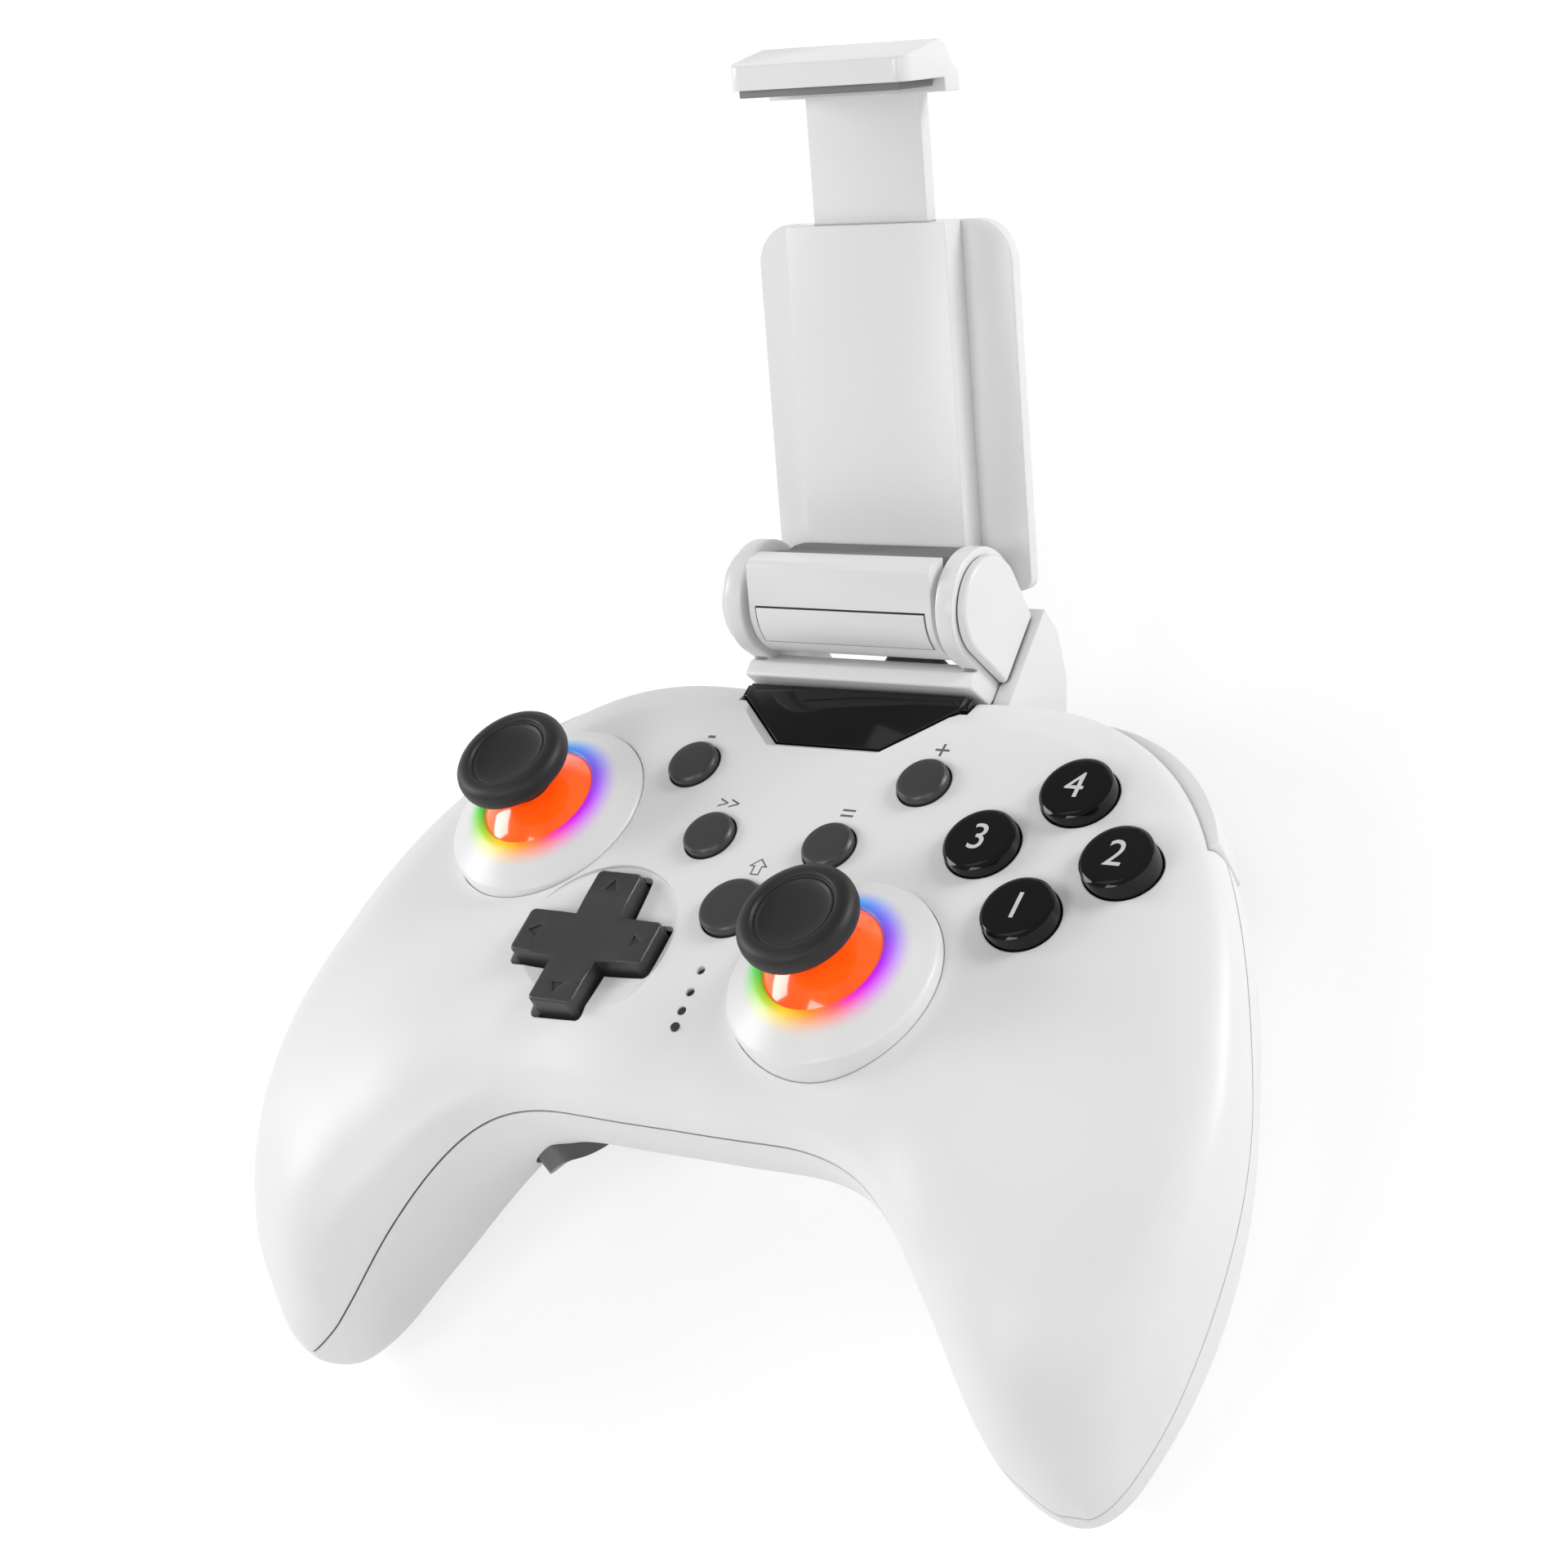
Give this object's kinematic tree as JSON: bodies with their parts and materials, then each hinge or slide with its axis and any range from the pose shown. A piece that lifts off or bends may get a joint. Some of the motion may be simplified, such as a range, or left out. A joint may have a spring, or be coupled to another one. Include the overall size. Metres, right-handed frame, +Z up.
{
  "type": "game controller",
  "caption": "Hand-held wireless game controller with thumb sticks, direction pad, buttons and a tilting, sliding phone clamp.",
  "frame": {"origin": "on the table, under the middle of the flat pad of the belly", "axes": "+X to the player's right, +Y away from the player, +Z up, standing on the grips and the belly pad"},
  "size_m": [0.1624, 0.1832, 0.1001],
  "materials": {
    "white_shell": "satin white",
    "gloss_black": "gloss",
    "black_plastic": "fine matt",
    "black_rubber": "matt rubber",
    "white_holder": "satin white",
    "light_collar": "frosted, lit",
    "orange_skirt": "gloss, lit",
    "grey_rubber": "soft",
    "inner_plastic": "moulded",
    "green_board": "solder mask",
    "steel": "plain",
    "cell_wrap": "foil"
  },
  "bodies": {
    "housing": {"action_membrane": "grey_rubber", "battery": "cell_wrap", "bottom_shell": "white_shell", "center_panel": "gloss_black", "clamp_hinge_pin": "steel", "dpad_membrane": "grey_rubber", "dpad_post": "inner_plastic", "function_membrane": "grey_rubber", "holder_bracket": "white_holder", "holder_frame": "white_holder", "housing_screws": "steel", "indicator_lights": "inner_plastic", "left_arm_cover": "white_holder", "left_light_board": "green_board", "left_rumble_motor": "steel", "left_stick_collar": "light_collar", "left_stick_module": "inner_plastic", "left_trigger_pin": "steel", "main_board": "green_board", "right_arm_cover": "white_holder", "right_light_board": "green_board", "right_rumble_motor": "steel", "right_stick_collar": "light_collar", "right_stick_module": "inner_plastic", "right_trigger_pin": "steel", "top_shell": "white_shell", "usb_socket": "steel"},
    "left_yoke": {"left_stick_yoke": "inner_plastic"},
    "left_rocker": {"left_stick_rocker": "inner_plastic"},
    "left_stick": {"left_stick_stem": "orange_skirt", "left_stick_cap": "black_rubber"},
    "right_yoke": {"right_stick_yoke": "inner_plastic"},
    "right_rocker": {"right_stick_rocker": "inner_plastic"},
    "right_stick": {"right_stick_stem": "orange_skirt", "right_stick_cap": "black_rubber"},
    "dpad_pivot": {"dpad_ball": "steel"},
    "direction_pad": {"d_pad": "black_plastic"},
    "action_button_1_body": {"action_button_1": "gloss_black"},
    "action_button_2_body": {"action_button_2": "gloss_black"},
    "action_button_3_body": {"action_button_3": "gloss_black"},
    "action_button_4_body": {"action_button_4": "gloss_black"},
    "select_button_body": {"select_button": "black_plastic"},
    "start_button_body": {"start_button": "black_plastic"},
    "turbo_button_body": {"turbo_button": "black_plastic"},
    "macro_button_body": {"macro_button": "black_plastic"},
    "home_button_body": {"home_button": "black_plastic"},
    "left_bumper_body": {"left_bumper": "white_shell"},
    "left_trigger_body": {"left_trigger": "black_plastic"},
    "left_paddle_body": {"left_back_paddle": "black_plastic"},
    "left_weight_body": {"left_rumble_weight": "steel"},
    "right_bumper_body": {"right_bumper": "white_shell"},
    "right_trigger_body": {"right_trigger": "black_plastic"},
    "right_paddle_body": {"right_back_paddle": "black_plastic"},
    "right_weight_body": {"right_rumble_weight": "steel"},
    "lock_knob_body": {"lock_knob": "black_plastic"},
    "phone_clamp": {"clamp_body": "white_holder", "clamp_cover": "white_holder", "lower_pad": "grey_rubber"},
    "sliding_jaw": {"upper_jaw": "white_holder", "upper_pad": "grey_rubber"}
  },
  "joints": [
    {"name": "left_stick_tilt_forward", "type": "hinge", "parent": "housing", "child": "left_yoke", "pos_m": [-0.0424, 0.01026, 0.03214], "axis": [-1, 0, 0], "range_deg": [-14, 14], "stiffness_Nm_per_rad": 0.06},
    {"name": "left_stick_tilt_sideways", "type": "hinge", "parent": "left_yoke", "child": "left_rocker", "pos_m": [-0.0424, 0.01026, 0.03214], "axis": [0, 0.989, -0.1478], "range_deg": [-14, 14], "stiffness_Nm_per_rad": 0.06},
    {"name": "left_stick_press", "type": "slide", "parent": "left_rocker", "child": "left_stick", "axis": [0, -0.1478, -0.989], "range_m": [0, 0.0005], "stiffness_N_per_m": 1500, "springref_m": -0.0002},
    {"name": "right_stick_tilt_forward", "type": "hinge", "parent": "housing", "child": "right_yoke", "pos_m": [0.0217, -0.01288, 0.03627], "axis": [-1, 0, 0], "range_deg": [-14, 14], "stiffness_Nm_per_rad": 0.06},
    {"name": "right_stick_tilt_sideways", "type": "hinge", "parent": "right_yoke", "child": "right_rocker", "pos_m": [0.0217, -0.01288, 0.03627], "axis": [0, 0.989, -0.1478], "range_deg": [-14, 14], "stiffness_Nm_per_rad": 0.06},
    {"name": "right_stick_press", "type": "slide", "parent": "right_rocker", "child": "right_stick", "axis": [0, -0.1478, -0.989], "range_m": [0, 0.0005], "stiffness_N_per_m": 1500, "springref_m": -0.0002},
    {"name": "dpad_rock_forward", "type": "hinge", "parent": "housing", "child": "dpad_pivot", "pos_m": [-0.0216, -0.01222, 0.03597], "axis": [-1, 0, 0], "range_deg": [-4, 4], "stiffness_Nm_per_rad": 0.25},
    {"name": "dpad_rock_sideways", "type": "hinge", "parent": "dpad_pivot", "child": "direction_pad", "pos_m": [-0.0216, -0.01222, 0.03597], "axis": [0, 0.989, -0.1478], "range_deg": [-4, 4], "stiffness_Nm_per_rad": 0.25},
    {"name": "action_button_1_press", "type": "slide", "parent": "housing", "child": "action_button_1_body", "axis": [0, -0.1478, -0.989], "range_m": [0, 0.0012], "stiffness_N_per_m": 500, "springref_m": -0.0003},
    {"name": "action_button_2_press", "type": "slide", "parent": "housing", "child": "action_button_2_body", "axis": [0, -0.1478, -0.989], "range_m": [0, 0.0012], "stiffness_N_per_m": 500, "springref_m": -0.0003},
    {"name": "action_button_3_press", "type": "slide", "parent": "housing", "child": "action_button_3_body", "axis": [0, -0.1478, -0.989], "range_m": [0, 0.0012], "stiffness_N_per_m": 500, "springref_m": -0.0003},
    {"name": "action_button_4_press", "type": "slide", "parent": "housing", "child": "action_button_4_body", "axis": [0, -0.1478, -0.989], "range_m": [0, 0.0012], "stiffness_N_per_m": 500, "springref_m": -0.0003},
    {"name": "select_button_press", "type": "slide", "parent": "housing", "child": "select_button_body", "axis": [0, -0.1478, -0.989], "range_m": [0, 0.0006], "stiffness_N_per_m": 500, "springref_m": -0.0003},
    {"name": "start_button_press", "type": "slide", "parent": "housing", "child": "start_button_body", "axis": [0, -0.1478, -0.989], "range_m": [0, 0.0006], "stiffness_N_per_m": 500, "springref_m": -0.0003},
    {"name": "turbo_button_press", "type": "slide", "parent": "housing", "child": "turbo_button_body", "axis": [0, -0.1478, -0.989], "range_m": [0, 0.0006], "stiffness_N_per_m": 500, "springref_m": -0.0003},
    {"name": "macro_button_press", "type": "slide", "parent": "housing", "child": "macro_button_body", "axis": [0, -0.1478, -0.989], "range_m": [0, 0.0006], "stiffness_N_per_m": 500, "springref_m": -0.0003},
    {"name": "home_button_press", "type": "slide", "parent": "housing", "child": "home_button_body", "axis": [0, -0.1478, -0.989], "range_m": [0, 0.0006], "stiffness_N_per_m": 500, "springref_m": -0.0003},
    {"name": "left_bumper_press", "type": "hinge", "parent": "housing", "child": "left_bumper_body", "pos_m": [-0.0384, 0.03983, 0.03648], "axis": [0, 0.1478, 0.989], "range_deg": [0, 2.5], "stiffness_Nm_per_rad": 0.8},
    {"name": "left_trigger_pull", "type": "hinge", "parent": "housing", "child": "left_trigger_body", "pos_m": [-0.04135, 0.02702, 0.01716], "axis": [-0.9659, -0.256, 0.0383], "range_deg": [0, 10], "stiffness_Nm_per_rad": 0.3},
    {"name": "left_paddle_press", "type": "slide", "parent": "housing", "child": "left_paddle_body", "axis": [0, 0.1478, 0.989], "range_m": [0, 0.0008], "stiffness_N_per_m": 600, "springref_m": -0.0003},
    {"name": "left_rumble_spin", "type": "hinge", "parent": "housing", "child": "left_weight_body", "pos_m": [-0.062, -0.02845, 0.01939], "axis": [0, 0.989, -0.1478], "continuous": true},
    {"name": "right_bumper_press", "type": "hinge", "parent": "housing", "child": "right_bumper_body", "pos_m": [0.0384, 0.03983, 0.03648], "axis": [0, -0.1478, -0.989], "range_deg": [0, 2.5], "stiffness_Nm_per_rad": 0.8},
    {"name": "right_trigger_pull", "type": "hinge", "parent": "housing", "child": "right_trigger_body", "pos_m": [0.04135, 0.02702, 0.01716], "axis": [-0.9659, 0.256, -0.0383], "range_deg": [0, 10], "stiffness_Nm_per_rad": 0.3},
    {"name": "right_paddle_press", "type": "slide", "parent": "housing", "child": "right_paddle_body", "axis": [0, 0.1478, 0.989], "range_m": [0, 0.0008], "stiffness_N_per_m": 600, "springref_m": -0.0003},
    {"name": "right_rumble_spin", "type": "hinge", "parent": "housing", "child": "right_weight_body", "pos_m": [0.062, -0.02845, 0.01939], "axis": [0, 0.989, -0.1478], "continuous": true},
    {"name": "lock_knob_turn", "type": "hinge", "parent": "housing", "child": "lock_knob_body", "pos_m": [0, 0.05015, 0.02432], "axis": [0, 0.989, -0.1478], "continuous": true},
    {"name": "clamp_tilt", "type": "hinge", "parent": "housing", "child": "phone_clamp", "pos_m": [0, 0.0513, 0.04105], "axis": [1, 0, 0], "range_deg": [-7, 25]},
    {"name": "jaw_slide", "type": "slide", "parent": "phone_clamp", "child": "sliding_jaw", "axis": [0, 0.7071, 0.7071], "range_m": [-0.013, 0.017]}
  ]
}
